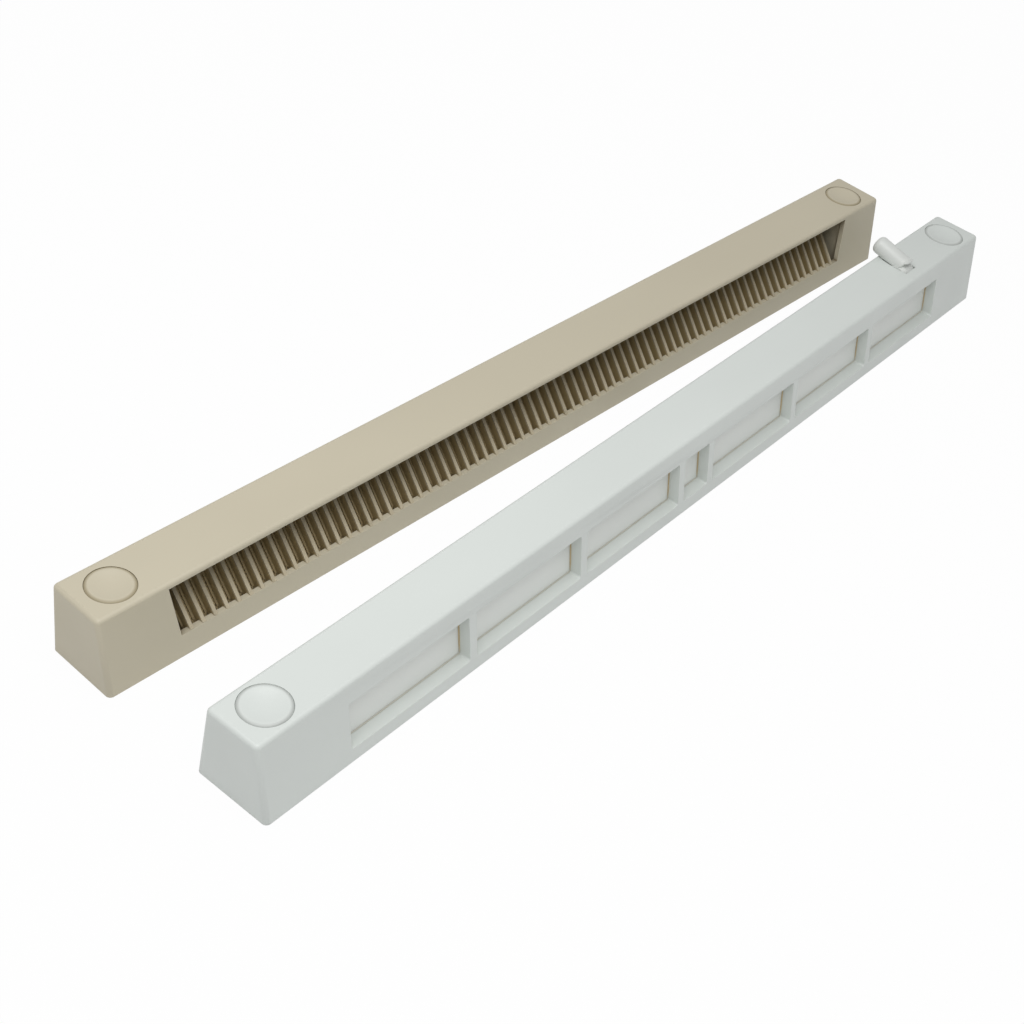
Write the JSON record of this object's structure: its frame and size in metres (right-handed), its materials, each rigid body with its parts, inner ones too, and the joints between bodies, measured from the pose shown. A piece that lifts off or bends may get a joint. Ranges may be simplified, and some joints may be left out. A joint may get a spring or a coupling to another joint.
{
  "type": "window trickle vent",
  "caption": "Window trickle vent: indoor vent whose finger lever turns a long flap behind windows in its sloping casing, and an outdoor hood with an upright-fin grille and mesh.",
  "frame": {"origin": "middle of the indoor vent's back plate, on the plane that rests on the window frame", "axes": "+X along the indoor vent's length to the lever's end, windows towards -Y, +Z away from the window frame"},
  "size_m": [0.3931, 0.0862, 0.0334],
  "materials": {
    "white_casing": "satin",
    "beige_casing": "satin",
    "seal_rubber": "matte",
    "bearing_plastic": "satin",
    "steel": "satin",
    "mesh_plastic": "matte"
  },
  "bodies": {
    "root": {"indoor_cover": "white_casing", "indoor_back_plate": "white_casing", "window_seal": "seal_rubber", "detent_spring": "steel", "left_bearing": "bearing_plastic", "inner_left_bearing": "bearing_plastic", "inner_right_bearing": "bearing_plastic", "right_bearing": "bearing_plastic", "hood_shell": "beige_casing", "fin_grille": "beige_casing", "insect_mesh": "mesh_plastic", "mesh_frame": "mesh_plastic"},
    "flap": {"closing_flap": "white_casing", "flap_seal": "seal_rubber", "flap_spindle": "steel", "finger_lever": "white_casing"},
    "indoor_left_cap_body": {"indoor_left_cap": "white_casing"},
    "indoor_right_cap_body": {"indoor_right_cap": "white_casing"},
    "hood_left_cap_body": {"hood_left_cap": "beige_casing"},
    "hood_right_cap_body": {"hood_right_cap": "beige_casing"}
  },
  "joints": [
    {"name": "flap_turn", "type": "hinge", "parent": "root", "child": "flap", "pos_m": [0, 0.0006, 0.0227], "axis": [1, 0, 0], "range_deg": [0, 32]},
    {"name": "indoor_left_cap_pull", "type": "slide", "parent": "root", "child": "indoor_left_cap_body", "axis": [0, 0, 1], "range_m": [0, 0.015]},
    {"name": "indoor_right_cap_pull", "type": "slide", "parent": "root", "child": "indoor_right_cap_body", "axis": [0, 0, 1], "range_m": [0, 0.015]},
    {"name": "hood_left_cap_pull", "type": "slide", "parent": "root", "child": "hood_left_cap_body", "axis": [0, 0, 1], "range_m": [0, 0.015]},
    {"name": "hood_right_cap_pull", "type": "slide", "parent": "root", "child": "hood_right_cap_body", "axis": [0, 0, 1], "range_m": [0, 0.015]}
  ]
}
